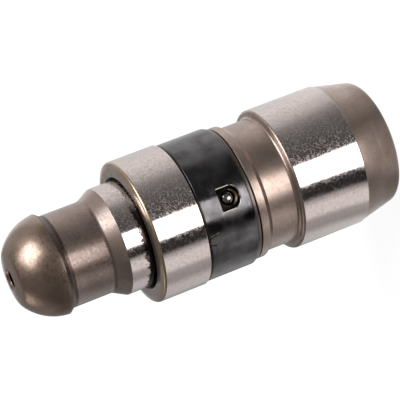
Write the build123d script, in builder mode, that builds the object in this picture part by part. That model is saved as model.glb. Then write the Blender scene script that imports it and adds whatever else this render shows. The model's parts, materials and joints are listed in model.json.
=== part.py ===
from build123d import *
from math import radians, sqrt, tan
import os

os.makedirs("parts", exist_ok=True)

# Hydraulic tappet with a ball head, standing on its flat base.
# Millimetres, +Z up from the centre of the base to the ball, the band's window faces -Y.

# Housing, outside, from the base upward
body_diameter = 12.0
housing_height = 22.23
base_cone_height = 3.50
base_cone_angle = 12.9
base_cone_step = 0.06
base_edge_radius = 0.75
land_lead_in = 0.10
oil_groove_bottom = 9.64
oil_groove_top = 12.10
oil_groove_depth = 0.65
oil_groove_rounding = 0.25
lip_step = 0.35
lip_slope_length = 0.40
ring_gap_width = 0.14
ring_gap_depth = 0.20
ring_step = 0.30
ring_width = 0.25
band_seat_bottom = 13.55
band_seat_top = 18.00
band_seat_depth = 0.60
collar_chamfer = 0.05
mouth_rounding = 0.22

# Housing, inside
housing_wall = 1.46
mouth_lead_in = 0.15
floor_height = 2.60
floor_corner = 0.30
feed_hole_diameter = 1.20
feed_hole_height = 11.20

# Band on its seat
band_seat_play = 0.03
band_thickness = 0.44
band_bottom_play = 0.03
band_top_play = 0.13
band_edge_chamfer = 0.10
band_split_width = 0.50
window_height = 15.20
window_length = 1.95
window_width = 1.85
window_round_radius = 0.70
window_square_radius = 0.12

# Lock ball that keeps the plunger in
lock_ball_diameter = 1.40
lock_hole_play = 0.02
lock_ball_cover = 0.06
lock_hole_mouth_diameter = 1.26
lock_hole_mouth_depth = 0.18

# Ball plunger
running_clearance = 0.02
ball_diameter = 8.476
ball_centre_height = 29.01
ball_rim_rise = 0.29
crown_diameter = 4.60
crown_radius = 10.0
ball_oil_hole_diameter = 1.70
ball_oil_hole_chamfer = 0.12
neck_diameter = 7.78
neck_top = 28.45
neck_rounding = 0.50
flare_height = 1.18
flare_rounding = 0.60
stem_top = 24.22
reservoir_diameter = 6.00
reservoir_top = 24.60
head_drill_diameter = 4.20
head_drill_top = 28.60
drill_point_angle = 59.0
plunger_foot_chamfer = 0.25
lock_groove_depth = 0.67

# Travel of the plunger and lift of the check ball
plunger_stroke = 2.20
stop_play = 0.03
check_ball_lift = 0.25

# Pressure piston under the plunger
piston_bottom = 5.30
piston_top = 12.20
plunger_seat_play = 0.02
piston_web_bottom = 8.90
piston_web_thickness = 1.40
piston_skirt_wall = 0.62
piston_relief_height = 9.60
piston_relief_depth = 0.32
piston_edge_chamfer = 0.15
valve_hole_diameter = 1.80
valve_seat_width = 0.45
transfer_hole_diameter = 1.20
transfer_hole_count = 2

# Check valve
check_ball_diameter = 3.00
check_ball_play = 0.02
cap_sheet = 0.30
cap_flange_play = 0.05
cap_cup_play = 0.25
cap_well_diameter = 1.90
cap_well_depth = 0.96
cap_slot_count = 3
cap_slot_width = 1.10
cap_slot_margin = 0.30

# Springs
return_wire = 0.70
return_turns = 4.0
return_spring_play = 0.15
check_wire = 0.16
check_turns = 3.0
check_spring_diameter = 1.20
spring_end_grind = 0.40
spring_wire_sides = 6

front = Plane(origin=(0, 0, 0), x_dir=(1, 0, 0), z_dir=(0, -1, 0))
back = Plane(origin=(0, 0, 0), x_dir=(-1, 0, 0), z_dir=(0, 1, 0))

ring_bottom = band_seat_bottom - ring_width
lip_top = ring_bottom - ring_gap_width
body_radius = body_diameter / 2
bore_radius = body_radius - housing_wall
plunger_radius = bore_radius - running_clearance

# Housing: a blind cup turned in one piece
cone_top_radius = body_radius - base_cone_step
cone_base_radius = cone_top_radius - base_cone_height * tan(radians(base_cone_angle))
groove_radius = body_radius - oil_groove_depth
lip_radius = body_radius - lip_step
ring_radius = body_radius - ring_step
seat_radius = body_radius - band_seat_depth

with BuildPart() as housing:
    with BuildSketch(Plane.XZ):
        with BuildLine():
            outline = [
                (0, 0, 0),
                (cone_base_radius, 0, base_edge_radius),
                (cone_top_radius, base_cone_height, 0),
                (body_radius, base_cone_height + land_lead_in, 0),
                (body_radius, oil_groove_bottom, oil_groove_rounding),
                (groove_radius, oil_groove_bottom, oil_groove_rounding),
                (groove_radius, oil_groove_top, 0),
                (lip_radius, oil_groove_top + lip_slope_length, 0),
                (lip_radius, lip_top, 0),
                (lip_radius - ring_gap_depth, lip_top, 0),
                (lip_radius - ring_gap_depth, ring_bottom, 0),
                (ring_radius, ring_bottom, 0),
                (ring_radius, band_seat_bottom, 0),
                (seat_radius, band_seat_bottom, 0),
                (seat_radius, band_seat_top, 0),
                (body_radius - collar_chamfer, band_seat_top, 0),
                (body_radius, band_seat_top + collar_chamfer, 0),
                (body_radius, housing_height, mouth_rounding),
                (bore_radius + mouth_lead_in, housing_height, 0),
                (bore_radius, housing_height - mouth_lead_in, 0),
                (bore_radius, floor_height + floor_corner, 0),
                (bore_radius - floor_corner, floor_height, 0),
                (0, floor_height, 0),
            ]
            FilletPolyline(
                [(radius, height) for radius, height, rounding in outline],
                radius=[rounding for radius, height, rounding in outline],
                close=True,
            )
        make_face()
    revolve(axis=Axis.Z)
    # Feed hole from the oil groove into the bore, on the side away from the window
    with BuildSketch(back.offset(bore_radius / 2)):
        with Locations((0, feed_hole_height)):
            Circle(feed_hole_diameter / 2)
    extrude(amount=body_diameter, mode=Mode.SUBTRACT)
    # Cross hole for the lock ball, drawn in at its mouth so that the ball stays behind it
    with BuildSketch(front.offset(bore_radius / 2)):
        with Locations((0, window_height)):
            Circle(lock_ball_diameter / 2 + lock_hole_play)
    extrude(amount=seat_radius - lock_hole_mouth_depth - bore_radius / 2, mode=Mode.SUBTRACT)
    with BuildSketch(front.offset(bore_radius / 2)):
        with Locations((0, window_height)):
            Circle(lock_hole_mouth_diameter / 2)
    extrude(amount=body_diameter, mode=Mode.SUBTRACT)
housing.part.label = "housing"
export_step(housing.part, "parts/housing.step")

# Band: a sprung sleeve, split at the back, with its window at the front
band_bottom = band_seat_bottom + band_bottom_play
band_height = band_seat_top - band_top_play - band_bottom
band_inner_radius = seat_radius + band_seat_play
band_outer_radius = band_inner_radius + band_thickness

with BuildPart() as retaining_band:
    with BuildSketch(Plane.XY.offset(band_bottom)):
        Circle(band_outer_radius)
        Circle(band_inner_radius, mode=Mode.SUBTRACT)
    extrude(amount=band_height)
    outer_rims = retaining_band.edges().filter_by(GeomType.CIRCLE).group_by(SortBy.RADIUS)[-1]
    chamfer(outer_rims, band_edge_chamfer)
    with BuildSketch(front):
        with Locations((0, window_height)):
            Rectangle(window_width, window_length)
        fillet(vertices().group_by(Axis.Y)[0], window_round_radius)
        fillet(vertices().group_by(Axis.Y)[-1], window_square_radius)
    extrude(amount=body_diameter, mode=Mode.SUBTRACT)
    with BuildSketch(back):
        with Locations((0, band_bottom + band_height / 2)):
            Rectangle(band_split_width, body_diameter)
    extrude(amount=body_diameter, mode=Mode.SUBTRACT)
retaining_band.part.label = "retaining_band"
export_step(retaining_band.part, "parts/retaining_band.step")

# Lock ball, behind the drawn-in mouth of its hole and partly in the plunger's groove
lock_ball_radius = lock_ball_diameter / 2
lock_ball_distance = seat_radius - lock_ball_cover - lock_ball_radius

with BuildPart() as lock_ball:
    with Locations((0, -lock_ball_distance, window_height)):
        Sphere(lock_ball_radius)
lock_ball.part.label = "lock_ball"
export_step(lock_ball.part, "parts/lock_ball.step")

# Ball plunger: hollow stem, flare, neck and ball head with an oil hole
ball_radius = ball_diameter / 2
ball_rim_height = ball_centre_height + ball_rim_rise
ball_rim_radius = sqrt(ball_radius**2 - ball_rim_rise**2)
crown_edge_radius = crown_diameter / 2
crown_edge_height = ball_centre_height + sqrt(ball_radius**2 - crown_edge_radius**2)
crown_centre_height = crown_edge_height - sqrt(crown_radius**2 - crown_edge_radius**2)
oil_hole_radius = ball_oil_hole_diameter / 2
crown_hole_height = crown_centre_height + sqrt(crown_radius**2 - oil_hole_radius**2)
drill_radius = head_drill_diameter / 2
drill_slope = tan(radians(drill_point_angle))
plunger_foot = piston_top + plunger_seat_play
lock_groove_radius = plunger_radius - lock_groove_depth
ball_reach = sqrt(lock_ball_radius**2 - (lock_ball_distance - plunger_radius) ** 2)
lock_groove_bottom = window_height - ball_reach - stop_play
lock_groove_top = window_height + lock_ball_radius + plunger_stroke + stop_play

with BuildPart() as ball_plunger:
    with BuildSketch(Plane.XZ):
        with BuildLine():
            stem = [
                (reservoir_diameter / 2, plunger_foot, 0),
                (plunger_radius - plunger_foot_chamfer, plunger_foot, 0),
                (plunger_radius, plunger_foot + plunger_foot_chamfer, 0),
                (plunger_radius, lock_groove_bottom, 0),
                (lock_groove_radius, lock_groove_bottom, 0),
                (lock_groove_radius, lock_groove_top, 0),
                (plunger_radius, lock_groove_top + lock_groove_depth, 0),
                (plunger_radius, stem_top, 0),
                (neck_diameter / 2, stem_top + flare_height, flare_rounding),
                (neck_diameter / 2, neck_top, neck_rounding),
                (ball_rim_radius, ball_rim_height, 0),
            ]
            FilletPolyline(
                [(radius, height) for radius, height, rounding in stem],
                radius=[rounding for radius, height, rounding in stem[1:-1]],
            )
            RadiusArc(
                (ball_rim_radius, ball_rim_height),
                (crown_edge_radius, crown_edge_height),
                -ball_radius,
            )
            RadiusArc(
                (crown_edge_radius, crown_edge_height),
                (oil_hole_radius, crown_hole_height),
                -crown_radius,
            )
            Polyline(
                (oil_hole_radius, crown_hole_height),
                (oil_hole_radius, head_drill_top + (drill_radius - oil_hole_radius) / drill_slope),
                (drill_radius, head_drill_top),
                (drill_radius, reservoir_top + (reservoir_diameter / 2 - drill_radius) / drill_slope),
                (reservoir_diameter / 2, reservoir_top),
                (reservoir_diameter / 2, plunger_foot),
            )
        make_face()
    revolve(axis=Axis.Z)
    hole_rim = ball_plunger.edges().filter_by(GeomType.CIRCLE).sort_by(Axis.Z)[-1]
    chamfer(hole_rim, ball_oil_hole_chamfer)
ball_plunger.part.label = "ball_plunger"
export_step(ball_plunger.part, "parts/ball_plunger.step")

# Pressure piston: skirt over the valve cap, web with the valve seat, cup that carries the plunger
skirt_inner_radius = plunger_radius - piston_skirt_wall
web_top = piston_web_bottom + piston_web_thickness
valve_hole_radius = valve_hole_diameter / 2

with BuildPart() as pressure_piston:
    with BuildSketch(Plane.XZ):
        with BuildLine():
            section = [
                (skirt_inner_radius, piston_bottom),
                (plunger_radius - piston_edge_chamfer, piston_bottom),
                (plunger_radius, piston_bottom + piston_edge_chamfer),
                (plunger_radius, piston_relief_height),
                (plunger_radius - piston_relief_depth, piston_relief_height + piston_relief_depth),
                (plunger_radius - piston_relief_depth, piston_top),
                (reservoir_diameter / 2, piston_top),
                (reservoir_diameter / 2, web_top),
                (valve_hole_radius, web_top),
                (valve_hole_radius, piston_web_bottom + valve_seat_width),
                (valve_hole_radius + valve_seat_width, piston_web_bottom),
                (skirt_inner_radius, piston_web_bottom),
            ]
            Polyline(section, close=True)
        make_face()
    revolve(axis=Axis.Z)
    # Holes that let oil pass from the feed hole into the reservoir
    transfer_height = (web_top + piston_top) / 2
    with BuildSketch(front):
        with Locations((0, transfer_height)):
            Circle(transfer_hole_diameter / 2)
    transfer_bore = extrude(amount=body_diameter, mode=Mode.PRIVATE)
    with PolarLocations(0, transfer_hole_count):
        add(transfer_bore, mode=Mode.SUBTRACT)
pressure_piston.part.label = "pressure_piston"
export_step(pressure_piston.part, "parts/pressure_piston.step")

# Check ball, just under the conical seat
check_radius = check_ball_diameter / 2
seat_contact_radius = check_radius / sqrt(2)
seat_contact_height = piston_web_bottom + valve_hole_radius + valve_seat_width - seat_contact_radius
check_ball_height = seat_contact_height - seat_contact_radius - check_ball_play * sqrt(2)

with BuildPart() as check_ball:
    with Locations((0, 0, check_ball_height)):
        Sphere(check_radius)
check_ball.part.label = "check_ball"
export_step(check_ball.part, "parts/check_ball.step")

# Valve cap: flange against the web, cup round the ball, well for the spring, pressed from sheet
cap_flange_radius = skirt_inner_radius - cap_flange_play
cup_inner_radius = check_radius + cap_cup_play
well_radius = cap_well_diameter / 2
ball_on_well = sqrt(check_radius**2 - well_radius**2)
cup_floor = check_ball_height - ball_on_well - check_ball_lift - check_ball_play
well_floor = cup_floor - cap_well_depth

with BuildPart() as valve_cap:
    with BuildSketch(Plane.XZ):
        with BuildLine():
            sheet = [
                (0, well_floor),
                (well_radius, well_floor),
                (well_radius, cup_floor),
                (cup_inner_radius, cup_floor),
                (cup_inner_radius, piston_web_bottom),
                (cap_flange_radius, piston_web_bottom),
                (cap_flange_radius, piston_web_bottom - cap_sheet),
                (cup_inner_radius + cap_sheet, piston_web_bottom - cap_sheet),
                (cup_inner_radius + cap_sheet, cup_floor),
                (cup_inner_radius, cup_floor - cap_sheet),
                (well_radius + cap_sheet, cup_floor - cap_sheet),
                (well_radius + cap_sheet, well_floor),
                (well_radius, well_floor - cap_sheet),
                (0, well_floor - cap_sheet),
            ]
            Polyline(sheet, close=True)
        make_face()
    revolve(axis=Axis.Z)
    # Slots in the cup's wall, open to the chamber round it
    slot_bottom = cup_floor + cap_slot_margin
    slot_top = piston_web_bottom - cap_sheet - cap_slot_margin
    with BuildSketch(front):
        with Locations((0, (slot_bottom + slot_top) / 2)):
            Rectangle(cap_slot_width, slot_top - slot_bottom)
    cap_slot = extrude(amount=cap_flange_radius, mode=Mode.PRIVATE)
    with PolarLocations(0, cap_slot_count):
        add(cap_slot, mode=Mode.SUBTRACT)
valve_cap.part.label = "valve_cap"
export_step(valve_cap.part, "parts/valve_cap.step")

# Return spring, ends ground flat on the housing's floor and the cap's flange.
# Both springs' wire is drawn as a hexagon inside its round section.
return_outer_radius = skirt_inner_radius - return_spring_play
return_mean_radius = return_outer_radius - return_wire / 2
return_bottom = floor_height
return_top = piston_web_bottom - cap_sheet
return_length = return_top - return_bottom
return_grind = spring_end_grind * return_wire

with BuildPart() as return_spring:
    coil_height = return_length - return_wire + 2 * return_grind
    with BuildLine():
        return_coil = Helix(
            pitch=coil_height / return_turns,
            height=coil_height,
            radius=return_mean_radius,
            center=(0, 0, return_bottom + return_wire / 2 - return_grind),
        )
    with BuildSketch(Plane(origin=return_coil @ 0, z_dir=return_coil % 0)):
        RegularPolygon(return_wire / 2, spring_wire_sides)
    sweep(is_frenet=True)
    with BuildSketch(Plane.XY.offset(return_bottom)):
        Circle(return_outer_radius + return_wire)
    extrude(amount=return_length, mode=Mode.INTERSECT)
return_spring.part.label = "return_spring"
export_step(return_spring.part, "parts/return_spring.step")

# Check spring, from the well's floor to the underside of the check ball. The centre of its last
# coil lies one wire below the ball's surface there.
check_mean_radius = check_spring_diameter / 2
ball_on_spring = sqrt(check_radius**2 - check_mean_radius**2)
check_spring_top = check_ball_height - ball_on_spring
check_spring_length = check_spring_top - well_floor
check_grind = spring_end_grind * check_wire

with BuildPart() as check_spring:
    coil_rise = check_spring_length - check_wire - check_wire / 2 + check_grind
    with BuildLine():
        check_coil = Helix(
            pitch=coil_rise / check_turns,
            height=coil_rise,
            radius=check_mean_radius,
            center=(0, 0, well_floor + check_wire / 2 - check_grind),
        )
    with BuildSketch(Plane(origin=check_coil @ 0, z_dir=check_coil % 0)):
        RegularPolygon(check_wire / 2, spring_wire_sides)
    sweep(is_frenet=True)
    with BuildSketch(Plane.XY.offset(well_floor)):
        Circle(well_radius)
    extrude(amount=check_spring_length, mode=Mode.INTERSECT)
check_spring.part.label = "check_spring"
export_step(check_spring.part, "parts/check_spring.step")
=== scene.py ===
# %% [markdown]
# # A hydraulic tappet with a ball head
# The real part is a small steel assembly, 12 mm across and 33 mm long, that takes up the play
# in a valve train. The CAD model gives its solids and how they move. This script dresses them:
# the pieces that show are turned again with finer edges, and every steel gets the finish that
# its making leaves: ground, tempered brown, black oxide, lapped or drawn.
#
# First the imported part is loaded. Its pieces stay where they are, and the box round them is kept,
# because the finished model has to stay inside it.

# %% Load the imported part
import json
import math

import bmesh
import bpy
from mathutils import Matrix, Quaternion, Vector

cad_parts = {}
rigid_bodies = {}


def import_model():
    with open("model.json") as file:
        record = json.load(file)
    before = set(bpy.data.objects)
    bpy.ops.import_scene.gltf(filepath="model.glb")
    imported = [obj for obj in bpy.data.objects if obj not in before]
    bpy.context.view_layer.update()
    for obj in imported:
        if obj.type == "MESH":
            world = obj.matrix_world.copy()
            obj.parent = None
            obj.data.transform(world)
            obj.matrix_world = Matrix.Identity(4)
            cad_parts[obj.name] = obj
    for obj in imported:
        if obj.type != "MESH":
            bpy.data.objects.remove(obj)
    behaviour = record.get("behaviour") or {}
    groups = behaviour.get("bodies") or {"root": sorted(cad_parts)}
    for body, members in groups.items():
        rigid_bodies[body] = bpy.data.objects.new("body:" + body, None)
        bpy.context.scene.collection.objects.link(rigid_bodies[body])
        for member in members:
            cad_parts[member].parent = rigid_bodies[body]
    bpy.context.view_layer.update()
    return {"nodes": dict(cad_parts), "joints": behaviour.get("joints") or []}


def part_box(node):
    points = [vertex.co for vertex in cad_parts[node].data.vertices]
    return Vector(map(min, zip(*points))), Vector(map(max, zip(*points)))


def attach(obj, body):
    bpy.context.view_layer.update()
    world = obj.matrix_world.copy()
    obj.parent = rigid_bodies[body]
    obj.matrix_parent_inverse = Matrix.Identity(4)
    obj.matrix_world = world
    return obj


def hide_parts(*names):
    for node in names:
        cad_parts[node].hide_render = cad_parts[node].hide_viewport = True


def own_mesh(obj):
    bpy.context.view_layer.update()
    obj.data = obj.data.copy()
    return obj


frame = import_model()
scene = bpy.context.scene
print("CAD nodes:", sorted(frame["nodes"]))

# %% [markdown]
# Blender works in metres and a turner in millimetres, so one factor changes between them.
# Each piece's own box comes from the frame, which keeps the new pieces where the solids are.

# %% Millimetres and the sizes taken from the frame
MM = 0.001


def reach(node):
    """Lowest height, highest height and outer radius of a CAD node, in millimetres."""
    low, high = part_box(node)
    return low.z / MM, high.z / MM, high.x / MM


housing_low, housing_top, land_radius = reach("housing")
band_low, band_top, band_reach = reach("retaining_band")
plunger_foot, plunger_tip, stem_radius = reach("ball_plunger")
print("housing", housing_low, housing_top, land_radius)
print("band", band_low, band_top, band_reach)
print("plunger", plunger_foot, plunger_tip, stem_radius)

# %% [markdown]
# ## The camera
# The photograph was taken with a long lens from a little above the standing part, and then the
# camera was turned about its own line of sight, so that the part lies across the picture. A
# camera in Blender looks along its own -Z. Here it is turned to face the part, rolled about that
# line, and set back along it.

# %% Camera
camera_azimuth = 1.6
camera_elevation = 17.8007
camera_roll = -111.123
camera_distance = 184.191
camera_aim = Vector((0.4818, 0.0135, 15.7375))
camera_lens = 204.37


def direction(azimuth, elevation):
    """Unit vector towards an azimuth, counted from the window's side towards +X, in degrees."""
    a, e = math.radians(azimuth), math.radians(elevation)
    return Vector((math.sin(a) * math.cos(e), -math.cos(a) * math.cos(e), math.sin(e)))


camera = bpy.data.objects.new("camera", bpy.data.cameras.new("camera"))
scene.collection.objects.link(camera)
scene.camera = camera
towards_camera = direction(camera_azimuth, camera_elevation)
level = (-towards_camera).to_track_quat("-Z", "Y")
roll = Quaternion((0, 0, 1), math.radians(camera_roll))
camera.rotation_mode = "QUATERNION"
camera.rotation_quaternion = level @ roll
camera.location = (camera_aim + towards_camera * camera_distance) * MM
camera.data.lens = camera_lens
camera.data.clip_start = 0.01
camera.data.clip_end = 10
print("camera at", [round(c / MM, 2) for c in camera.location], "mm")

# %% [markdown]
# ## Helpers for materials
# A colour is written as the hex value that a picture shows, which is sRGB, and Blender's shaders
# want linear light, so one function turns it over. Another small function adds a node with its
# settings and its links, which keeps each material readable as a list of what it is made of.

# %% Colour and node helpers


def linear(hex_colour):
    """Linear RGBA from an sRGB hex value such as "b0a8a0"."""
    channels = [int(hex_colour[i : i + 2], 16) / 255 for i in (0, 2, 4)]
    return [c / 12.92 if c <= 0.04045 else ((c + 0.055) / 1.055) ** 2.4 for c in channels] + [1.0]


def add_node(tree, kind, inputs=None, **settings):
    """Adds a shader node, sets it up, and fills or links its inputs by name or number."""
    node = tree.nodes.new("ShaderNode" + kind)
    for name, value in settings.items():
        setattr(node, name, value)
    for name, value in (inputs or {}).items():
        if isinstance(value, bpy.types.NodeSocket):
            tree.links.new(value, node.inputs[name])
        else:
            node.inputs[name].default_value = value
    return node


def new_material(name):
    """An empty node material, its node tree and its output node."""
    material = bpy.data.materials.new(name)
    material.use_nodes = True
    material.node_tree.nodes.clear()
    print("material", name)
    return material, material.node_tree, add_node(material.node_tree, "OutputMaterial")


# %% [markdown]
# ## The table
# The part stands on a pale table. The camera and the mirror-like steel should see it white, and
# the part's own shadow should still fall on it, so the table is a plain grey that takes the
# shadow, plus a glow that only camera, glossy and transmission rays meet.

# %% Table
table_grey, table_glow = "8c8c8c", 0.92
table_half = 3  # metres
white_table, tree, out = new_material("white_table")
lit = add_node(tree, "BsdfDiffuse", {"Color": linear(table_grey)})
glow = add_node(tree, "Emission", {"Color": linear("ffffff"), "Strength": table_glow})
paths = add_node(tree, "LightPath").outputs
seen = add_node(
    tree, "Math", {0: paths["Is Camera Ray"], 1: paths["Is Glossy Ray"]}, operation="MAXIMUM"
)
seen = add_node(
    tree, "Math", {0: seen.outputs[0], 1: paths["Is Transmission Ray"]}, operation="MAXIMUM"
)
shown = add_node(tree, "MixShader", {0: seen.outputs[0], 2: glow.outputs[0]})
both = add_node(tree, "AddShader", {0: lit.outputs[0], 1: shown.outputs[0]})
tree.links.new(both.outputs[0], out.inputs["Surface"])


def new_object(name, bm, *materials):
    """Turns a bmesh into an object at the origin, with its materials."""
    mesh = bpy.data.meshes.new(name)
    bm.to_mesh(mesh)
    bm.free()
    for material in materials:
        mesh.materials.append(material)
    made = bpy.data.objects.new(name, mesh)
    scene.collection.objects.link(made)
    return made


bm = bmesh.new()
bmesh.ops.create_grid(bm, x_segments=1, y_segments=1, size=table_half)
table = new_object("table", bm, white_table)
print("table", 2 * table_half, "m wide")

# %% [markdown]
# ## Cards for the steel to mirror
# Bright steel has almost no colour of its own: it shows what stands round it. The wall of a
# standing cylinder, seen from a little above, mirrors the table it stands on, so the stripes
# along the tappet come from pale and dark cards that lie on that table. A ring of cards lies
# far out for the ground lands, the collar and the stem, and a ring near the foot for the tapered
# base. Each ring is one line spun round the part, and its brightness is a ramp that runs round
# it. Only reflections see the cards: the camera, the shadows and the soft light don't.

# %% Cards lying on the table


def glossy_only(*objects):
    """Stage pieces that reflections see and the camera, the shadows and the soft light don't."""
    for made in objects:
        made.visible_camera = False
        made.visible_shadow = False
        made.visible_diffuse = False


def tone_material(name, tones):
    """Emission whose strength runs round the part. Each tone is an angle and a strength."""
    full = max(tone for angle, tone in tones)
    material, tree, out = new_material(name)
    place = add_node(tree, "TexCoord").outputs["Object"]
    # The gradient counts from its own -X, so the camera's side is turned to its middle
    turned = add_node(
        tree,
        "Mapping",
        {"Vector": place, "Rotation": (0, 0, math.radians(-90 - camera_azimuth))},
    )
    flipped = add_node(
        tree, "VectorMath", {0: turned.outputs[0], 1: (-1, 1, 1)}, operation="MULTIPLY"
    )
    around = add_node(
        tree, "TexGradient", {"Vector": flipped.outputs[0]}, gradient_type="RADIAL"
    )
    toned = add_node(tree, "ValToRGB", {"Fac": around.outputs["Fac"]})
    stops = toned.color_ramp.elements
    for angle, tone in tones[1:-1]:
        stops.new((angle + 180) / 360)
    for stop, (angle, tone) in zip(stops, tones):
        stop.color = [tone / full] * 3 + [1]
    shine = add_node(tree, "Emission", {"Color": toned.outputs["Color"], "Strength": full})
    tree.links.new(shine.outputs[0], out.inputs["Surface"])
    return material


def swept(name, start, end, material):
    """A line from start to end, (radius, height) in millimetres, spun once round the axis."""
    bm = bmesh.new()
    first = bm.verts.new((start[0] * MM, 0, start[1] * MM))
    last = bm.verts.new((end[0] * MM, 0, end[1] * MM))
    edge = bm.edges.new((first, last))
    bmesh.ops.spin(
        bm,
        geom=[first, last, edge],
        angle=2 * math.pi,
        steps=90,
        axis=(0, 0, 1),
        cent=(0, 0, 0),
        use_merge=True,
    )
    return new_object(name, bm, material)


far_tones = [
    (-180, 0.46),
    (-165, 0.62),
    (-150, 0.78),
    (-120, 0.97),
    (-104, 1.07),
    (-90, 0.93),
    (-75, 0.74),
    (-62, 0.34),
    (-48, 0.19),
    (-30, 0.12),
    (-5, 0.10),
    (-3.5, 4.4),
    (25, 4.4),
    (27, 0.03),
    (46, 0.03),
    (51, 0.50),
    (60, 1.00),
    (76, 1.00),
    (84, 0.50),
    (100, 0.42),
    (116, 0.72),
    (135, 0.64),
    (150, 0.42),
    (165, 0.24),
    (180, 0.46),
]
near_tones = [
    (-180, 0.95),
    (-150, 1.05),
    (-120, 1.10),
    (-95, 1.10),
    (-70, 0.95),
    (-50, 0.60),
    (-25, 0.26),
    (0, 0.46),
    (28, 0.58),
    (50, 0.30),
    (80, 0.38),
    (110, 0.70),
    (140, 0.82),
    (160, 0.45),
    (180, 0.95),
]
card_lift = 0.05
near_start, near_end, far_end = 4.9, 9.5, 139
near_cards = swept(
    "near_cards",
    (near_start, card_lift),
    (near_end, card_lift),
    tone_material("near_tones", near_tones),
)
far_cards = swept(
    "far_cards",
    (near_end, card_lift),
    (far_end, card_lift),
    tone_material("far_tones", far_tones),
)
glossy_only(near_cards, far_cards)
print("cards from", near_start, "to", far_end, "mm")

# %% [markdown]
# The ball and the rounded edges look further up. A round wall at the end of the cards gives
# them a pale horizon behind the part, and a dimmer sheet above it stands for the room.

# %% Walls behind the cards
low_tones = [
    (-180, 1.00),
    (-110, 1.00),
    (-85, 0.12),
    (120, 0.12),
    (140, 0.22),
    (166, 0.30),
    (176, 1.00),
    (180, 1.00),
]
high_tones = [
    (-180, 0.30),
    (-150, 0.50),
    (-100, 0.62),
    (-78, 0.16),
    (95, 0.10),
    (125, 0.36),
    (150, 0.26),
    (180, 0.30),
]
low_radius, low_top = 140, 44
high_radius, high_foot, high_top = 400, 60, 390
low_wall = swept(
    "low_wall", (low_radius, 0), (low_radius, low_top), tone_material("low_tones", low_tones)
)
high_wall = swept(
    "high_wall",
    (high_radius, high_foot),
    (high_radius, high_top),
    tone_material("high_tones", high_tones),
)
glossy_only(low_wall, high_wall)
print("walls at", low_radius, "and", high_radius, "mm")

# %% [markdown]
# One large soft lamp stands high on the upper side of the picture and draws the round highlight
# on the ball and the bright lines on the rounded edges. A small one stands behind. The world is
# an even pale grey, which is white where the camera looks straight at it.

# %% Lamps and world
lamp_distance, lamp_aim = 300, Vector((0, 0, 20))
room_light = 0.14


def soft_box(name, azimuth, elevation, side, radiance, tint):
    """A square soft lamp that shines at the part. Azimuth counts as the cards' angles do."""
    data = bpy.data.lights.new(name, "AREA")
    data.shape = "SQUARE"
    data.size = side * MM
    data.color = linear(tint)[:3]
    data.energy = radiance * math.pi * (side * MM) ** 2
    lamp = bpy.data.objects.new(name, data)
    scene.collection.objects.link(lamp)
    towards = direction(camera_azimuth - azimuth, elevation)
    lamp.location = (lamp_aim + towards * lamp_distance) * MM
    lamp.rotation_mode = "QUATERNION"
    lamp.rotation_quaternion = (-towards).to_track_quat("-Z", "Y")
    print(name, round(data.energy, 3), "W")


soft_box("key_box", azimuth=-54, elevation=49, side=200, radiance=7.6, tint="f4faff")
soft_box("rear_box", azimuth=130, elevation=44, side=110, radiance=1.2, tint="fff6ea")

world = bpy.data.worlds.new("studio")
scene.world = world
world.use_nodes = True
tree = world.node_tree
tree.nodes.clear()
out = add_node(tree, "OutputWorld")
room = add_node(tree, "Background", {"Color": linear("ffffff"), "Strength": room_light})
white = add_node(tree, "Background", {"Color": linear("ffffff"), "Strength": 1.0})
paths = add_node(tree, "LightPath").outputs
shown = add_node(
    tree, "MixShader", {0: paths["Is Camera Ray"], 1: room.outputs[0], 2: white.outputs[0]}
)
tree.links.new(shown.outputs[0], out.inputs["Surface"])
scene.view_settings.view_transform = "Standard"

# %% [markdown]
# ## Steel, ground and tempered
# The housing and the plunger are case-hardened steel. Hardening and tempering leave a thin brown
# oxide all over, a little rough and cloudy, under a film of oil. One flat brown would look like
# paint, so a noise of broad clouds and one of small pits give the oxide its uneven depth. This
# skin is made first, because every piece of the steel has it.

# %% The brown skin
cloud_size, pit_size = 2.2, 0.20


def tempered_skin(tree, place, browns):
    """Cloudy brown oxide with small darker pits: the colour and the pits, as sockets."""
    pale, deep, pit = [linear(brown) for brown in browns]
    # The Mapping node moves the noise, which picks the part of it that the pieces show
    moved = add_node(tree, "Mapping", {"Vector": place, "Location": (3 * MM, MM, 2 * MM)})
    clouds = {"Vector": moved.outputs[0], "Scale": 1 / (cloud_size * MM), "Detail": 3.0}
    clouds = add_node(tree, "TexNoise", clouds).outputs[0]
    cloudy = add_node(tree, "MapRange", {"Value": clouds, "From Min": 0.35, "From Max": 0.65})
    skin = {0: cloudy.outputs[0], 6: deep, 7: pale}
    skin = add_node(tree, "Mix", skin, data_type="RGBA").outputs[2]
    pits = {"Vector": moved.outputs[0], "Scale": 1 / (pit_size * MM), "Detail": 2.0}
    pits = add_node(tree, "TexNoise", pits).outputs[0]
    pitted = {"Value": pits, "From Min": 0.50, "From Max": 0.80, "To Max": 0.4}
    pitted = add_node(tree, "MapRange", pitted)
    skin = {0: pitted.outputs[0], 6: skin, 7: pit}
    return add_node(tree, "Mix", skin, data_type="RGBA").outputs[2], pits


# %% [markdown]
# A face that no wheel has touched has only this skin. Its finishes differ in their browns, in how
# rough they are and in how deep their grain is. The oxide scatters a little light as a powder
# does, so the steel isn't fully metallic, and the film of oil over it is a clear coat.

# %% Tempered steel without grinding
oxide_metal = 0.88
oil_weight, oil_roughness = 0.6, 0.22
grain_depth = 0.01 * MM
pit_span = {"From Min": 0.35, "From Max": 0.70}


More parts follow.
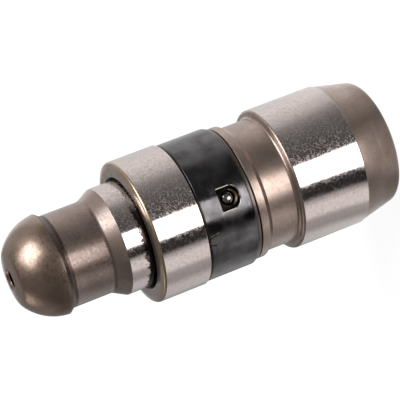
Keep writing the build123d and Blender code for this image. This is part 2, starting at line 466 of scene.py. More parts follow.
def brown_steel(name, browns, roughness, grain):
    """Tempered steel that no wheel has touched, from its browns, a roughness range and a grain."""
    material, tree, out = new_material(name)
    place = add_node(tree, "TexCoord").outputs["Object"]
    skin, pits = tempered_skin(tree, place, browns)
    dull = {"Value": pits, **pit_span, "To Min": roughness[0], "To Max": roughness[1]}
    bump = {"Height": pits, "Strength": grain, "Distance": grain_depth}
    steel = add_node(
        tree,
        "BsdfPrincipled",
        {
            "Base Color": skin,
            "Metallic": oxide_metal,
            "Roughness": add_node(tree, "MapRange", dull).outputs[0],
            "Normal": add_node(tree, "Bump", bump).outputs[0],
            "Coat Weight": oil_weight,
            "Coat Roughness": oil_roughness,
        },
    )
    tree.links.new(steel.outputs[0], out.inputs["Surface"])
    return material


# Clean inner steel: pale, with an even gleam
inner_finish = brown_steel(
    "tempered_inner_steel", ("a39389", "8d7e73", "66564a"), roughness=(0.27, 0.38), grain=0.10
)
# The mouth's turned edge and the lit part of the countersink get a lighter straw colour: a painted
# highlight
straw_highlight_finish = brown_steel(
    "straw_painted_highlight_steel", ("b8a28a", "a28b73", "66564a"), roughness=(0.27, 0.37), grain=0.15
)
# The flare is turned and not ground: a soft pale brown with a broad highlight
flare_finish = brown_steel(
    "turned_tempered_steel", ("ab968a", "988378", "66564a"), roughness=(0.34, 0.45), grain=0.40
)
# The ball has a thicker oxide, so its brown is warmer than the neck's
head_finish = brown_steel(
    "ball_tempered_steel", ("9e8575", "8b7363", "62503f"), roughness=(0.27, 0.43), grain=0.50
)
# The thin ring between the lip and the band is painted a dull dark brown: painted shade in that
# crevice
ring_shade_finish = brown_steel(
    "tempered_steel_ring_painted_shade", ("6c5f58", "5b5048", "3a302b"), roughness=(0.32, 0.42), grain=0.10
)

# %% [markdown]
# The sliding faces are ground bright after tempering. The wheel leaves faint rings 0.1 mm apart,
# and oil dries on them as stains of 0.3 mm. Fine grains scatter the light as small soft specks:
# they are really a few hundredths of a millimetre wide, and are drawn 0.15 mm wide so that they
# show. The side towards +X has lain in the oil and is etched, so its specks are the roughest.

# %% Ground steel
ring_spacing, ring_length = 0.1, 3
stain_size, grain_size = 0.30, 0.15
etched_low, etched_high = 0.5, 1.8


def ground_skin(tree, place, across):
    """Bright ground steel: its colour, roughness, mottle and grains, as sockets."""
    rings = (1 / (ring_length * MM), 1 / (ring_length * MM), 1 / (ring_spacing * MM))
    rings = add_node(tree, "Mapping", {"Vector": place, "Scale": rings}).outputs[0]
    rings = add_node(tree, "TexNoise", {"Vector": rings, "Scale": 1.0, "Detail": 2.0}).outputs[0]
    bright = {0: rings, 6: linear("c8b9b5"), 7: linear("d0c4c0")}
    bright = add_node(tree, "Mix", bright, data_type="RGBA").outputs[2]
    grains = {"Vector": place, "Scale": 1 / (grain_size * MM), "Detail": 2.0}
    grains = add_node(tree, "TexNoise", grains).outputs[0]
    mottle = {"Vector": place, "Scale": 1 / (stain_size * MM), "Detail": 4.0}
    mottle = add_node(tree, "TexNoise", mottle).outputs[0]
    stain = {"Value": mottle, "From Min": 0.45, "From Max": 0.70, "To Max": 0.28}
    stain = add_node(tree, "MapRange", stain)
    bright = {0: stain.outputs[0], 6: bright, 7: linear("a69890")}
    bright = add_node(tree, "Mix", bright, data_type="RGBA").outputs[2]
    etched = {"From Min": etched_low * MM, "From Max": etched_high * MM}
    etched = {"Value": across, **etched, "To Min": 0.07, "To Max": 0.265}
    etched = add_node(tree, "MapRange", etched).outputs[0]
    speck = {"Value": grains, "From Min": 0.44, "From Max": 0.55, "To Max": etched}
    speck = add_node(tree, "MapRange", speck).outputs[0]
    patch = {"Value": mottle, "From Min": 0.42, "From Max": 0.72, "To Min": 0.05, "To Max": 0.16}
    patch = add_node(tree, "MapRange", patch).outputs[0]
    rough = add_node(tree, "Math", {0: speck, 1: patch}).outputs[0]
    return bright, rough, mottle, grains


# %% [markdown]
# Shade is painted in as a dark brown on the slope above the housing's oil groove and between the
# plunger's neck and its ball. A dark ragged fringe on the stem, a little above the housing's mouth,
# is a painted dark reflection and shade of the mouth. The marks could be painted by hand, but a
# mask made from the height follows the turned shape all the way round. A mask across the part keeps
# the painted shade at the groove and the fringe off the side towards +X, which faces the key lamp.

# %% Painted shade in corners and on the stem
# Distances along X over which the painted shade fades out towards the lamp side
lamp_side_low, lamp_side_high = 1.6, 2.6
ragged_reach, fringe_fade = 0.2, 0.06


def painted_shade_mask(tree, up, foot, top, fade, amount):
    """Painted shade between two heights, which fades over a little way and covers up to an amount.
    """
    above = {"Value": up, "From Min": (foot - fade) * MM, "From Max": foot * MM, "To Max": amount}
    below = {"Value": up, "From Min": (top + fade) * MM, "From Max": top * MM}
    above = add_node(tree, "MapRange", above).outputs[0]
    below = add_node(tree, "MapRange", below).outputs[0]
    return add_node(tree, "Math", {0: above, 1: below}, operation="MULTIPLY").outputs[0]


def fringe_mask(tree, up, mottle, top):
    """Painted dark reflection and shade below a height, with an edge that the mottle makes ragged.
    """
    ragged = {"To Min": -ragged_reach * MM, "To Max": ragged_reach * MM}
    ragged = {"Value": mottle, "From Min": 0.3, "From Max": 0.7, **ragged}
    ragged = add_node(tree, "MapRange", ragged).outputs[0]
    edge = add_node(tree, "Math", {0: up, 1: ragged}, operation="SUBTRACT").outputs[0]
    reflected_shade = {"From Min": (top + fringe_fade) * MM, "From Max": (top - fringe_fade) * MM}
    return add_node(tree, "MapRange", {"Value": edge, **reflected_shade}).outputs[0]


# %% [markdown]
# Two finishes on one surface could be two materials on separate faces. The ground steel is told
# from the brown by its distance from the axis instead, because only what lies on the full radius
# is ground, and the border then follows the rounded edges by itself.

# %% Turned steel, ground on its full radius
ground_edge, ground_full = 0.02, 0.005
ground_grain = 0.20


def turned_steel(name, ground_radius, browns, roughness, grain, shade_band, bare_lamp_side, fringe=None):
    """Brown tempered steel, ground bright from a radius outwards, with its painted shade."""
    material, tree, out = new_material(name)
    place = add_node(tree, "TexCoord").outputs["Object"]
    parts = add_node(tree, "SeparateXYZ", {0: place}).outputs
    across, up = parts["X"], parts["Z"]
    flat = add_node(tree, "VectorMath", {0: place, 1: (1, 1, 0)}, operation="MULTIPLY")
    away = add_node(tree, "VectorMath", {0: flat.outputs[0]}, operation="LENGTH").outputs["Value"]
    ground = {
        "Value": away,
        "From Min": (ground_radius - ground_edge) * MM,
        "From Max": (ground_radius - ground_full) * MM,
    }
    ground = add_node(tree, "MapRange", ground).outputs[0]
    tempered, pits = tempered_skin(tree, place, browns)
    bright, rough_ground, mottle, grains = ground_skin(tree, place, across)

    # A mask across the part keeps painted shade off the side towards +X, which faces the key lamp
    away_from_lamp = {"Value": across, "From Min": lamp_side_high * MM, "From Max": lamp_side_low * MM}
    away_from_lamp = add_node(tree, "MapRange", away_from_lamp).outputs[0]
    shaded = painted_shade_mask(tree, up, *shade_band)
    if bare_lamp_side:
        shaded = add_node(tree, "Math", {0: shaded, 1: away_from_lamp}, operation="MULTIPLY").outputs[0]
    # Painted shade: the brown turns to a dark brown where the mask covers it
    tempered = {0: shaded, 6: tempered, 7: linear("3a2f29")}
    tempered = add_node(tree, "Mix", tempered, data_type="RGBA").outputs[2]
    colour = {0: ground, 6: tempered, 7: bright}
    colour = add_node(tree, "Mix", colour, data_type="RGBA").outputs[2]
    # The fringe on the stem is a near-black painted dark reflection and shade of the mouth
    if fringe:
        reflected_shade = {0: fringe_mask(tree, up, mottle, fringe), 1: away_from_lamp}
        reflected_shade = add_node(tree, "Math", reflected_shade, operation="MULTIPLY").outputs[0]
        colour = {0: reflected_shade, 6: colour, 7: linear("2a1d16")}
        colour = add_node(tree, "Mix", colour, data_type="RGBA").outputs[2]

    dull = {"Value": pits, **pit_span, "To Min": roughness[0], "To Max": roughness[1]}
    dull = add_node(tree, "MapRange", dull).outputs[0]
    dull = add_node(tree, "Mix", {0: ground, 2: dull, 3: rough_ground})
    metal = add_node(tree, "Mix", {0: ground, 2: oxide_metal, 3: 1.0})
    height = add_node(tree, "Mix", {0: ground, 2: pits, 3: grains})
    depth = add_node(tree, "Mix", {0: ground, 2: grain, 3: ground_grain})
    bump = {"Height": height.outputs[0], "Strength": depth.outputs[0], "Distance": grain_depth}
    # Where shade is painted, the oil's film is taken off too, so it doesn't shine there
    film = add_node(tree, "Mix", {0: shaded, 2: oil_weight, 3: 0.0})
    steel = add_node(
        tree,
        "BsdfPrincipled",
        {
            "Base Color": colour,
            "Metallic": metal.outputs[0],
            "Roughness": dull.outputs[0],
            "Normal": add_node(tree, "Bump", bump).outputs[0],
            "Coat Weight": film.outputs[0],
            "Coat Roughness": oil_roughness,
        },
    )
    tree.links.new(steel.outputs[0], out.inputs["Surface"])
    return material


# %% [markdown]
# The housing gets painted shade on the slope above its oil groove, and the plunger between its
# neck and its ball. Each band of painted shade is given by its foot, its top, how far it fades and
# how much it covers. Only the plunger has the fringe of painted dark reflection and shade, which
# stands a little above the mouth.

# %% Finishes of the housing and the plunger
housing_finish = turned_steel(
    "case_hardened_steel_ground_lands",
    land_radius,
    ("ad988d", "988376", "6d594b"),
    roughness=(0.32, 0.40),
    grain=0.08,
    shade_band=(12.16, 12.44, 0.08, 0.60),
    bare_lamp_side=True,
)
plunger_finish = turned_steel(
    "tempered_steel_ground_stem",
    stem_radius,
    ("99847b", "867269", "5f5045"),
    roughness=(0.27, 0.43),
    grain=0.50,
    shade_band=(28.72, 29.28, 0.12, 0.82),
    bare_lamp_side=False,
    fringe=22.78,
)

# %% [markdown]
# The remaining finishes are simpler. A metal with one even tone and one even gloss would look
# drawn by a computer, so a single noise moves both of them a little. Its size across the axis and
# its size along it are given apart, because drawn wire is uneven in lines and the rest in lumps.

# %% Uneven metal


def uneven_metal(name, dark, pale, roughness, across, along, detail=2.0):
    """Metal whose tone and gloss vary together, over two sizes in millimetres."""
    material, tree, out = new_material(name)
    place = add_node(tree, "TexCoord").outputs["Object"]
    stretch = (1 / (across * MM), 1 / (across * MM), 1 / (along * MM))
    place = add_node(tree, "Mapping", {"Vector": place, "Scale": stretch}).outputs[0]
    uneven = {"Vector": place, "Scale": 1.0, "Detail": detail}
    uneven = add_node(tree, "TexNoise", uneven).outputs[0]
    tones = {0: uneven, 6: linear(dark), 7: linear(pale)}
    gloss = {"To Min": roughness[0], "To Max": roughness[1]}
    gloss = {"Value": uneven, "From Min": 0.3, "From Max": 0.7, **gloss}
    metal = add_node(
        tree,
        "BsdfPrincipled",
        {
            "Base Color": add_node(tree, "Mix", tones, data_type="RGBA").outputs[2],
            "Metallic": 1.0,
            "Roughness": add_node(tree, "MapRange", gloss).outputs[0],
        },
    )
    tree.links.new(metal.outputs[0], out.inputs["Surface"])
    return material


# %% [markdown]
# Where no wheel and no light reaches, as in the bore, the seat under the band and the narrow gap
# below it, the steel is painted a dull dark brown with a soft gleam: this is painted shade.

# %% Painted shade on hidden steel
painted_shade_finish = uneven_metal(
    "tempered_steel_painted_shade",
    "0a0807",
    "17120f",
    roughness=(0.25, 0.42),
    across=0.5,
    along=0.5,
    detail=3.0,
)

# %% [markdown]
# ## The black band
# The band is spring steel, blackened in a hot salt bath. Black oxide is a thin dark layer that
# follows the steel under it, so the band still mirrors, but weakly and a little blurred, with
# uneven clouds and a few fine scratches where it has rubbed.

# %% Black oxide
band_finish, tree, out = new_material("black_oxide_spring_steel")
place = add_node(tree, "TexCoord").outputs["Object"]
clouds = {"Vector": place, "Scale": 1 / (1.3 * MM), "Detail": 4.0}
clouds = add_node(tree, "TexNoise", clouds).outputs[0]
cloudy = add_node(tree, "MapRange", {"Value": clouds, "From Min": 0.35, "From Max": 0.65})
oxide = {0: cloudy.outputs[0], 6: linear("413e3f"), 7: linear("605d5e")}
oxide = add_node(tree, "Mix", oxide, data_type="RGBA").outputs[2]
# Scratches about 0.04 mm wide and 1.5 mm long, across the axis and a little aslant
scratch_length, scratch_width = 1.5 * MM, 0.04 * MM
stretch = (1 / scratch_length, 1 / scratch_length, 1 / scratch_width)
slanted = {"Vector": place, "Rotation": (0.35, 0.2, 0), "Scale": stretch}
slanted = add_node(tree, "Mapping", slanted).outputs[0]
strokes = add_node(tree, "TexNoise", {"Vector": slanted, "Scale": 1.0, "Detail": 1.0}).outputs[0]
scratch = {"Value": strokes, "From Min": 0.68, "From Max": 0.78, "To Max": 0.5}
scratched = {0: add_node(tree, "MapRange", scratch).outputs[0], 6: oxide, 7: linear("8a888a")}
oxide = add_node(tree, "Mix", scratched, data_type="RGBA").outputs[2]
# Smears of 1 mm change the gloss, and a fine unevenness of 0.16 mm breaks it up
fine = {"Vector": place, "Scale": 1 / (0.16 * MM), "Detail": 3.0}
fine = add_node(tree, "TexNoise", fine).outputs[0]
smears = {"Vector": place, "Scale": 1 / (1.0 * MM), "Detail": 2.0}
smears = add_node(tree, "TexNoise", smears).outputs[0]
smears = {"Value": smears, "From Min": 0.42, "From Max": 0.62, "To Min": 0.10, "To Max": 0.22}
smears = add_node(tree, "MapRange", smears).outputs[0]
dull = {"Value": fine, "From Min": 0.3, "From Max": 0.7, "To Max": 0.05}
dull = add_node(tree, "Math", {0: add_node(tree, "MapRange", dull).outputs[0], 1: smears})
bump = add_node(tree, "Bump", {"Height": fine, "Strength": 0.25, "Distance": grain_depth})
black = add_node(
    tree,
    "BsdfPrincipled",
    {
        "Base Color": oxide,
        "Metallic": 1.0,
        "Roughness": dull.outputs[0],
        "Normal": bump.outputs[0],
        "Coat Weight": 0.25,
        "Coat Roughness": 0.15,
    },
)
tree.links.new(black.outputs[0], out.inputs["Surface"])

# %% [markdown]
# The punch tears the last part of its cut, which leaves the bare steel of the rim grainy. It is
# much paler than the oxide, and its grains are 0.12 mm wide so that they show.

# %% Bare cut steel
edge_finish = uneven_metal(
    "bare_cut_spring_steel", "6f6c68", "b5b0aa", roughness=(0.22, 0.38), across=0.12, along=0.12
)

# %% [markdown]
# ## Polished balls
# The lock ball and the check ball are bearing steel, lapped between plates until they mirror.
# What is left to see is a very fine unevenness in the gloss, drawn 0.2 mm wide so that it shows.

# %% Polished bearing steel
ball_finish = uneven_metal(
    "polished_bearing_steel", "9c948a", "b2aaa0", roughness=(0.15, 0.24), across=0.20, along=0.20
)

# %% [markdown]
# ## Spring wire
# The springs are wound from drawn carbon steel wire. Drawing through a die leaves fine lines
# along the wire and a grey-brown skin, which shows as a satin gleam. The lines are drawn 0.06 mm
# apart, coarser than they are, so that they show.

# %% Drawn spring wire
wire_finish = uneven_metal(
    "drawn_spring_wire", "7d746b", "a59c93", roughness=(0.22, 0.36), across=0.6, along=0.06
)

# %% [markdown]
# ## Turning a piece
# A lathe piece is its outline spun about the axis. The outline goes into a bmesh as one flat
# face. Rounding a corner while the shape is still flat is the cheap way: a vertex bevel cuts the
# corner back along both edges, and its profile of 0.5 makes the cut a circle's arc. The face is
# then dropped, its edges are spun once round, and the ends are merged.

# %% The lathe
round_steps = 240
degrees_per_segment = 9
merge_distance = 0.0005 * MM


def turn(name, outline, *materials):
    """Spins an outline of (radius, height, rounding), in millimetres, about the Z axis."""
    bm = bmesh.new()
    chain = [bm.verts.new((r * MM, 0, z * MM)) for r, z, rounding in outline]
    bm.faces.new(chain)
    for point, (r, z, rounding) in zip(chain, outline):
        if rounding:
            arms = [edge.other_vert(point).co - point.co for edge in point.link_edges]
            turning = math.pi - arms[0].angle(arms[1])
            bmesh.ops.bevel(
                bm,
                geom=[point],
                offset=rounding * MM * math.tan(turning / 2),
                offset_type="OFFSET",
                segments=max(3, int(math.degrees(turning) / degrees_per_segment)),
                profile=0.5,
                affect="VERTICES",
                material=-1,
            )
    bmesh.ops.delete(bm, geom=bm.faces[:], context="FACES_ONLY")
    bmesh.ops.spin(
        bm,
        geom=bm.verts[:] + bm.edges[:],
        angle=2 * math.pi,
        steps=round_steps,
        axis=(0, 0, 1),
        cent=(0, 0, 0),
        use_merge=True,
    )
    bmesh.ops.remove_doubles(bm, verts=bm.verts, dist=merge_distance)
    bmesh.ops.recalc_face_normals(bm, faces=bm.faces)
    made = new_object(name, bm, *materials)
    print(name, len(made.data.vertices), "vertices")
    return made


# %% [markdown]
# Holes are cut the way a drill or a punch does it: a tool shape is made where the hole goes, and
# a Boolean modifier takes it out of the piece. The result is kept as the piece's own mesh, and
# the tool is thrown away.

# %% Drills and punches


def cut(piece, tool):
    """Takes the tool's shape out of a piece and throws the tool away."""
    print("cut", tool.name)
    boolean = piece.modifiers.new("cut", "BOOLEAN")
    boolean.operation = "DIFFERENCE"
    boolean.solver = "EXACT"
    boolean.object = tool
    graph = bpy.context.evaluated_depsgraph_get()
    result = bpy.data.meshes.new_from_object(piece.evaluated_get(graph))
    piece.modifiers.clear()
    old = piece.data
    piece.data = result
    bpy.data.meshes.remove(old)
    bpy.data.objects.remove(tool)


def cross_drill(name, start_radius, end_radius, height, start, end):
    """A round tool across the axis, from start to end along -Y, in millimetres."""
    bm = bmesh.new()
    bmesh.ops.create_cone(
        bm,
        cap_ends=True,
        segments=64,
        radius1=start_radius * MM,
        radius2=end_radius * MM,
        depth=abs(end - start) * MM,
    )
    turn_over = Matrix.Rotation(math.radians(90), 4, "X")
    bmesh.ops.transform(bm, matrix=turn_over, verts=bm.verts)
    bmesh.ops.translate(bm, vec=(0, -(start + end) / 2 * MM, height * MM), verts=bm.verts)
    return new_object(name, bm)


def finish_edges(piece, angle=28):
    """Smooth faces, sharp edges where the surface turns, and normals led by the large faces."""
    for face in piece.data.polygons:
        face.use_smooth = True
    piece.data.set_sharp_from_angle(angle=math.radians(angle))
    weighted = piece.modifiers.new("weighted_normals", "WEIGHTED_NORMAL")
    weighted.mode = "FACE_AREA"
    weighted.weight = 80
    weighted.keep_sharp = True


# %% [markdown]
# ## The housing
# The housing is a blind cup, turned from bar. From the foot up come the tapered base, the ground
# land, the oil groove with its rounded foot, the sloping side of the lip, the lip, a thin ring,
# the seat of the band, the ground collar and the mouth. The shape could be built from stacked
# cylinders, but one outline gives every edge its own rounding. Radii are counted from the land's,
# and the seat from the band's heights, so they stay with the CAD model.

# %% Outline of the housing
bore_radius = land_radius - 1.46
seat_radius = land_radius - 0.60
seat_low, seat_top = band_low - 0.03, band_top + 0.13
cone_foot, cone_top, cone_height, land_start = 5.134, land_radius - 0.06, 3.50, 3.60
# A fine line that the tool left on the cone, as steps out from the cone's foot and heights
tool_line = [(0.371, 1.62), (0.374, 1.66), (0.389, 1.70)]
groove_radius, groove_low, groove_high = land_radius - 0.65, 9.64, 12.10
lip_radius, lip_start, lip_top = land_radius - 0.35, groove_high + 0.40, 13.16
ring_radius, ring_low = land_radius - 0.30, 13.30
gap_radius = lip_radius - 0.20
floor_height = 2.60
face_radius, face_slope = 5.50, 0.11
mouth_chamfer, mouth_depth = 0.26, 0.36
housing_outline = [
    (0, 0, 0),
    (cone_foot, 0, 0.75),
    *[(cone_foot + step, height, 0) for step, height in tool_line],
    (cone_top, cone_height, 0.02),
    (land_radius, land_start, 0.02),
    (land_radius, groove_low, 0.25),
    (groove_radius, groove_low, 0.25),
    (groove_radius, groove_high, 0.06),
    (lip_radius, lip_start, 0.10),
    (lip_radius, lip_top, 0.03),
    (gap_radius, lip_top, 0),
    (gap_radius, ring_low, 0),
    (ring_radius, ring_low, 0.03),
    (ring_radius, seat_low, 0.04),
    (seat_radius, seat_low, 0),
    (seat_radius, seat_top, 0),
    (land_radius, seat_top, 0.05),
    (land_radius, housing_top - face_slope, 0.24),
    (face_radius, housing_top, 1.00),
    (bore_radius + mouth_chamfer, housing_top, 0.04),
    (bore_radius, housing_top - mouth_depth, 0),
    (bore_radius, floor_height, 0.30),
    (0, floor_height, 0),
]
housing = turn(
    "housing_turned",
    housing_outline,
    housing_finish,
    painted_shade_finish,
    straw_highlight_finish,
    ring_shade_finish,
    inner_finish,
)

# %% [markdown]
# The lock ball's hole is wide inside and narrow at its mouth, so that the ball can't fall out, and
# its edge is countersunk. A short hole at the back lets the oil into the groove. Each drill starts
# in the bore and runs along -Y, or along +Y where its start and end are negative.

# %% Cross holes
ball_height = 15.20
bore_start, outside = 2.3, 8
sink_start, sink_end = seat_radius - 0.20, seat_radius + 0.04
drills = [
    # radius at the start and at the end, height, start and end
    ("ball_hole", 0.72, 0.72, ball_height, bore_start, sink_start),
    ("ball_hole_mouth", 0.63, 0.63, ball_height, bore_start, outside),
    ("countersink", 0.60, 0.78, ball_height, sink_start, sink_end),
    ("feed_hole", 0.60, 0.60, 11.20, -bore_start, -outside),
]
for drill in drills:
    cut(housing, cross_drill(*drill))

# %% [markdown]
# Each face of the housing gets one of its five finishes by where it lies: the ground and brown
# steel everywhere, painted shade in the bore and under the band, a dark brown painted shade on the
# thin ring, a lighter straw colour as a painted highlight on the mouth's edge and on the lit part
# of the countersink, and clean steel on the mouth's face.

# %% Finishes of the housing's faces
steel_slot, shade_slot, highlight_slot, ring_shade_slot, clean_slot = range(5)
bore_edge, seat_edge = bore_radius + 0.24, seat_radius + 0.10
face_foot, face_edge = housing_top - 0.26, face_radius - 0.06
ring_margin = 0.02
sink_radius, sink_depth, lit_top = 0.76, 5.1, ball_height - 0.25
flat_wall = 0.93
counts = [0] * 5
for face in housing.data.polygons:
    away = face.center.xy.length / MM
    height = face.center.z / MM
    in_bore = away < bore_edge and height > floor_height
    under_band = lip_top < height < seat_top and away < seat_edge
    aside = Vector((face.center.x, 0, face.center.z - ball_height * MM)).length / MM
    at_window = aside < sink_radius and face.center.y < 0 and away > sink_depth
    sunk = at_window and abs(face.normal.y) < flat_wall
    # The lit part of the countersink gets the lighter straw colour of a painted highlight
    if sunk and height < lit_top:
        face.material_index = highlight_slot
    # The bore, the seat under the band and the rest of the hole get painted shade
    elif in_bore or under_band:
        face.material_index = shade_slot
    # The mouth's outer edge gets the same painted highlight in straw colour, its face clean steel
    elif height > face_foot:
        face.material_index = highlight_slot if away > face_edge else clean_slot
    # The thin ring below the band gets the dark brown painted shade
    elif ring_low - ring_margin < height < seat_low + ring_margin:
        face.material_index = ring_shade_slot
    counts[face.material_index] += 1
print("faces of each finish", counts)
finish_edges(housing)
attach(housing, "housing")
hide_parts("housing")

# %% [markdown]
# ## The band
# The band is a sleeve of strip steel, sprung over its seat and split at the back. A lathe outline
# gives the sleeve. The window is a punched hole with two round and two nearly square corners, so
# its tool is a flat shape with its corners bevelled, pushed through the wall.

# %% Band and its window
sleeve_inside = seat_radius + 0.03
strip_thickness = 0.44
sleeve_outside = sleeve_inside + strip_thickness
sleeve_chamfer = 0.10
rings = 16
straight = band_top - band_low - 2 * sleeve_chamfer
band_outline = [
    (sleeve_inside, band_low, 0),
    (sleeve_outside - sleeve_chamfer, band_low, 0.03),
    (sleeve_outside, band_low + sleeve_chamfer, 0.05),
]
for i in range(1, rings):
    band_outline.append((sleeve_outside, band_low + sleeve_chamfer + straight * i / rings, 0))
band_outline += [
    (sleeve_outside, band_top - sleeve_chamfer, 0.05),
    (sleeve_outside - sleeve_chamfer, band_top, 0.03),
    (sleeve_inside, band_top, 0),
]
band = turn("band_sleeve", band_outline, band_finish, edge_finish)

window_height = 15.30
window_length, window_width = 1.76, 1.85
half_long, half_wide = window_length / 2, window_width / 2
round_corner, square_corner = 0.70, 0.12
punch_start, punch_length = 3, 5
corners = [
    (-half_wide, -half_long, round_corner),
    (half_wide, -half_long, round_corner),
    (half_wide, half_long, square_corner),
    (-half_wide, half_long, square_corner),
]
bm = bmesh.new()
ring = [
    bm.verts.new((x * MM, -punch_start * MM, (window_height + z) * MM))
    for x, z, rounding in corners
]
bm.faces.new(ring)
for point, (x, z, rounding) in zip(ring, corners):
    bmesh.ops.bevel(
        bm,
        geom=[point],
        offset=rounding * MM,
        offset_type="OFFSET",
        segments=10,
        profile=0.5,
        affect="VERTICES",
        material=-1,
    )
pushed = bmesh.ops.extrude_face_region(bm, geom=bm.faces[:])
moved = [item for item in pushed["geom"] if isinstance(item, bmesh.types.BMVert)]
bmesh.ops.translate(bm, vec=(0, -punch_length * MM, 0), verts=moved)
bmesh.ops.recalc_face_normals(bm, faces=bm.faces)
cut(band, new_object("window_punch", bm))

split_width = 0.5
bm = bmesh.new()
bmesh.ops.create_cube(bm, size=MM)
bmesh.ops.scale(bm, vec=(split_width, 5, 8), verts=bm.verts)
bmesh.ops.translate(bm, vec=(0, 5 * MM, window_height * MM), verts=bm.verts)
cut(band, new_object("split_saw", bm))

# %% [markdown]
# The photograph shows three small nicks near the band's upper edge. They could be dark strokes in
# the oxide, but a real nick catches light on its side. Each is a shallow cut by a thin block, laid
# on the surface between two points that are given as an angle and a height.

# %% Nicks in the band


def nick(start, end, width, depth, finish_slot):
    """A thin block on the band's surface, between two points of (angle, height)."""
    turned = [math.radians(camera_azimuth - angle) for angle, height in (start, end)]
    run = (turned[1] - turned[0]) * sleeve_outside
    rise = end[1] - start[1]
    bm = bmesh.new()
    bmesh.ops.create_cube(bm, size=MM)
    bmesh.ops.scale(bm, vec=(width, 2 * depth, math.hypot(run, rise)), verts=bm.verts)
    tilt = Matrix.Rotation(math.atan2(run, rise), 4, "Y")
    bmesh.ops.transform(bm, matrix=tilt, verts=bm.verts)
    middle_height = (start[1] + end[1]) / 2 * MM
    bmesh.ops.translate(bm, vec=(0, -sleeve_outside * MM, middle_height), verts=bm.verts)
    around = Matrix.Rotation(sum(turned) / 2, 4, "Z")
    bmesh.ops.transform(bm, matrix=around, verts=bm.verts)
    for face in bm.faces:
        face.material_index = finish_slot
    return new_object("nick", bm, band_finish, edge_finish)


black_slot, bare_slot = range(2)
nicks = [
    ((24.6, 16.90), (26.4, 17.75), 0.06, 0.05, bare_slot),
    ((26.0, 17.20), (27.6, 17.84), 0.08, 0.08, black_slot),
    ((34.8, 17.34), (32.0, 17.84), 0.14, 0.09, black_slot),
]
for marks in nicks:
    cut(band, nick(*marks))

# %% [markdown]
# The punched edge of the window is broken by a small bevel, which catches the light as a bright
# line. Only the sharp edges that lie on the outside of the sleeve at the window are bevelled, and
# not those at its upper end, where the real one is dark.

# %% Rim of the window
rim_width = 0.06
sharp_angle = math.radians(40)
on_surface = 0.004 * MM
window_reach = 1.2 * MM
upper_end = (window_height + half_long - 0.05) * MM
bm = bmesh.new()
bm.from_mesh(band.data)
bm.normal_update()
rim = []
for edge in bm.edges:
    if len(edge.link_faces) == 2 and edge.calc_face_angle() > sharp_angle:
        ends = [vert.co for vert in edge.verts]
        outer = all(abs(end.xy.length - sleeve_outside * MM) < on_surface for end in ends)
        front = all(
            end.y < 0 and abs(end.z - window_height * MM) < window_reach for end in ends
        )
        if outer and front and not all(end.z > upper_end for end in ends):
            rim.append(edge)
bmesh.ops.bevel(
    bm,
    geom=rim,
    offset=rim_width * MM,
    offset_type="OFFSET",
    segments=3,
    profile=0.5,
    affect="EDGES",
    material=bare_slot,
)
bm.to_mesh(band.data)
bm.free()
print("window rim edges", len(rim))
finish_edges(band)
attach(band, "housing")
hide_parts("retaining_band")

# %% [markdown]
# ## The lock ball
# The small ball that keeps the plunger in is a plain sphere. Its size and place come straight
# from the box of its CAD node.

# %% Lock ball
low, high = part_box("lock_ball")
bm = bmesh.new()
bmesh.ops.create_uvsphere(bm, u_segments=64, v_segments=32, radius=(high.z - low.z) / 2)
bmesh.ops.translate(bm, vec=(low + high) / 2, verts=bm.verts)
lock_ball = new_object("lock_ball_polished", bm, ball_finish)
for face in lock_ball.data.polygons:
    face.use_smooth = True
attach(lock_ball, "housing")
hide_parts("lock_ball")
print("lock ball", round((high.z - low.z) / MM, 2), "mm across")

# %% [markdown]
# ## The ball plunger
# The plunger is one turned piece: a hollow stem with a groove for the lock ball, a flare, a neck
# and the ball head with an oil hole in its flatter crown. The ball and the crown are two arcs of
# the outline, and their points are worked out from the radii.

# %% Arcs of the ball head
ball_radius, ball_centre = 8.476 / 2, 29.01
rim_rise = 0.29
rim_rounding, crown_rounding = 0.10, 2.2
crown_half, crown_radius = 2.30, 10.0
crown_edge = ball_centre + math.sqrt(ball_radius**2 - crown_half**2)
crown_centre = crown_edge - math.sqrt(crown_radius**2 - crown_half**2)
oil_hole = 0.74
hole_wear, hole_wear_depth = 0.24, 0.20
arc_steps, crown_steps = 24, 6
start = math.asin(rim_rise / ball_radius)
stop = math.acos(crown_half / ball_radius)
ball_points = []
for i in range(arc_steps + 1):
    angle = start + (stop - start) * i / arc_steps
    rounding = {0: rim_rounding, arc_steps: crown_rounding}.get(i, 0)
    ball_points.append(
        (ball_radius * math.cos(angle), ball_centre + ball_radius * math.sin(angle), rounding)
    )
for i in range(1, crown_steps + 1):
    r = crown_half + (oil_hole + hole_wear - crown_half) * i / crown_steps
    ball_points.append((r, crown_centre + math.sqrt(crown_radius**2 - r**2), 0))
tip = crown_centre + math.sqrt(crown_radius**2 - oil_hole**2)
print("ball", 2 * ball_radius, "mm across, tip at", round(tip, 2), "mm")

# %% [markdown]
# The rest of the outline runs up the outside of the stem, round the ball and down the hollow. Its
# faces get their finishes by height: painted shade in the hollow, and finishes of their own for the
# flare and for the ball.

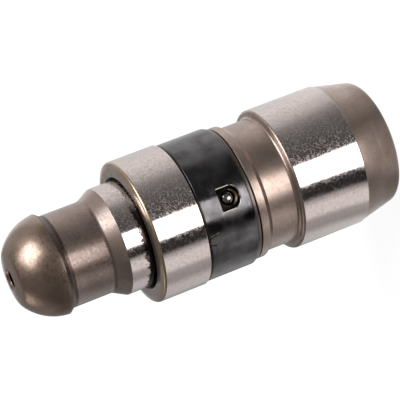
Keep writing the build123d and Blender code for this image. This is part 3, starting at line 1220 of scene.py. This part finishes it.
# %% Ball plunger
hollow_radius, head_hollow = 3.0, 2.10
foot_chamfer = 0.25
lock_radius, lock_low, lock_high, lock_end = stem_radius - 0.67, 14.51, 18.13, 18.80
flare_low, flare_high = 24.22, 25.40
neck_radius, neck_top = 3.89, 28.90
plunger_outline = [
    (hollow_radius, plunger_foot, 0),
    (stem_radius - foot_chamfer, plunger_foot, 0),
    (stem_radius, plunger_foot + foot_chamfer, 0),
    (stem_radius, lock_low, 0),
    (lock_radius, lock_low, 0),
    (lock_radius, lock_high, 0),
    (stem_radius, lock_end, 0),
    (stem_radius, flare_low, 0.08),
    (neck_radius, flare_high, 0.60),
    (neck_radius, neck_top, 0.35),
    *ball_points,
    (oil_hole, tip - hole_wear_depth, 0.05),
    (oil_hole, 29.41, 0),
    (head_hollow, 28.60, 0),
    (head_hollow, 25.14, 0),
    (hollow_radius, 24.60, 0),
]
plunger = turn(
    "ball_plunger_turned",
    plunger_outline,
    plunger_finish,
    painted_shade_finish,
    flare_finish,
    head_finish,
)
steel_slot, shade_slot, flare_slot, head_slot = range(4)
shade_radius, shade_top = 3.05, tip - 0.30
head_foot = ball_centre + rim_rise + 0.12
counts = [0] * 4
for face in plunger.data.polygons:
    away = face.center.xy.length / MM
    height = face.center.z / MM
    inward = face.normal.dot(Vector((face.center.x, face.center.y, 0))) < 0
    # The inside of the hollow gets painted shade
    if inward and away < shade_radius and height < shade_top:
        face.material_index = shade_slot
    elif flare_low + 0.04 < height < flare_high - 0.10:
        face.material_index = flare_slot
    elif height > head_foot:
        face.material_index = head_slot
    counts[face.material_index] += 1
print("faces of each finish", counts)
finish_edges(plunger)
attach(plunger, "ball_plunger")
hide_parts("ball_plunger")

# %% [markdown]
# ## The springs
# Two springs are inside: a strong one that lifts the plunger, and a light one under the check
# ball. A coiled spring is a round wire carried along a screw line, and a spin that also climbs a
# little at each step makes just that. The ends of such springs are ground flat, so the first and
# the last turn are cut by a plane. Each spring is carried by the parent body of its joint.

# %% Winding a spring
steps_per_turn, wire_sides = 36, 12
ground_share = 0.40
crease_angle = 50


def wind_spring(name, node, wire, turns, joint_name):
    """A coil in the place of a CAD node, from its wire and turns, carried by the parent body of a
    joint.
    """
    joint = next(joint for joint in frame["joints"] if joint["name"] == joint_name)
    low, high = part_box(node)
    wire_radius = wire / 2 * MM
    length = high.z - low.z
    ground_off = ground_share * wire * MM
    climb = length - 2 * wire_radius + 2 * ground_off
    steps = int(turns * steps_per_turn)
    bm = bmesh.new()
    bmesh.ops.create_circle(bm, segments=wire_sides, radius=wire_radius)
    upright = Matrix.Rotation(math.radians(90), 4, "X")
    bmesh.ops.transform(bm, matrix=upright, verts=bm.verts)
    start = (high.x - wire_radius, 0, low.z + wire_radius - ground_off)
    bmesh.ops.translate(bm, vec=start, verts=bm.verts)
    bmesh.ops.spin(
        bm,
        geom=bm.verts[:] + bm.edges[:],
        angle=2 * math.pi * turns,
        steps=steps,
        axis=(0, 0, 1),
        cent=(0, 0, 0),
        dvec=(0, 0, climb / steps),
    )
    bmesh.ops.holes_fill(bm, edges=bm.edges, sides=0)
    for height, outwards in ((low.z, -1), (high.z, 1)):
        bmesh.ops.bisect_plane(
            bm,
            geom=bm.verts[:] + bm.edges[:] + bm.faces[:],
            plane_co=(0, 0, height),
            plane_no=(0, 0, outwards),
            clear_outer=True,
        )
        bmesh.ops.holes_fill(bm, edges=bm.edges, sides=0)
    bmesh.ops.remove_doubles(bm, verts=bm.verts, dist=merge_distance)
    bmesh.ops.recalc_face_normals(bm, faces=bm.faces)
    spring = new_object(name, bm, wire_finish)
    finish_edges(spring, crease_angle)
    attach(spring, joint["parent"])
    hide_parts(node)
    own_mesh(spring)


wind_spring("return_spring_wound", "return_spring", wire=0.70, turns=4, joint_name="plunger_stroke")
wind_spring("check_spring_wound", "check_spring", wire=0.16, turns=3, joint_name="check_lift")

# %% [markdown]
# ## Inside the housing
# The pressure piston, the valve cap and the check ball don't show, but they are there when the
# part is opened. Their CAD meshes are right as they are, so they only get their finishes:
# tempered steel and polished ball.

# %% Inner pieces
inner_finishes = {
    "pressure_piston": inner_finish,
    "valve_cap": inner_finish,
    "check_ball": ball_finish,
}
for node, material in inner_finishes.items():
    for slot in frame["nodes"][node].material_slots:
        slot.material = material
    print(node, "is now", material.name)
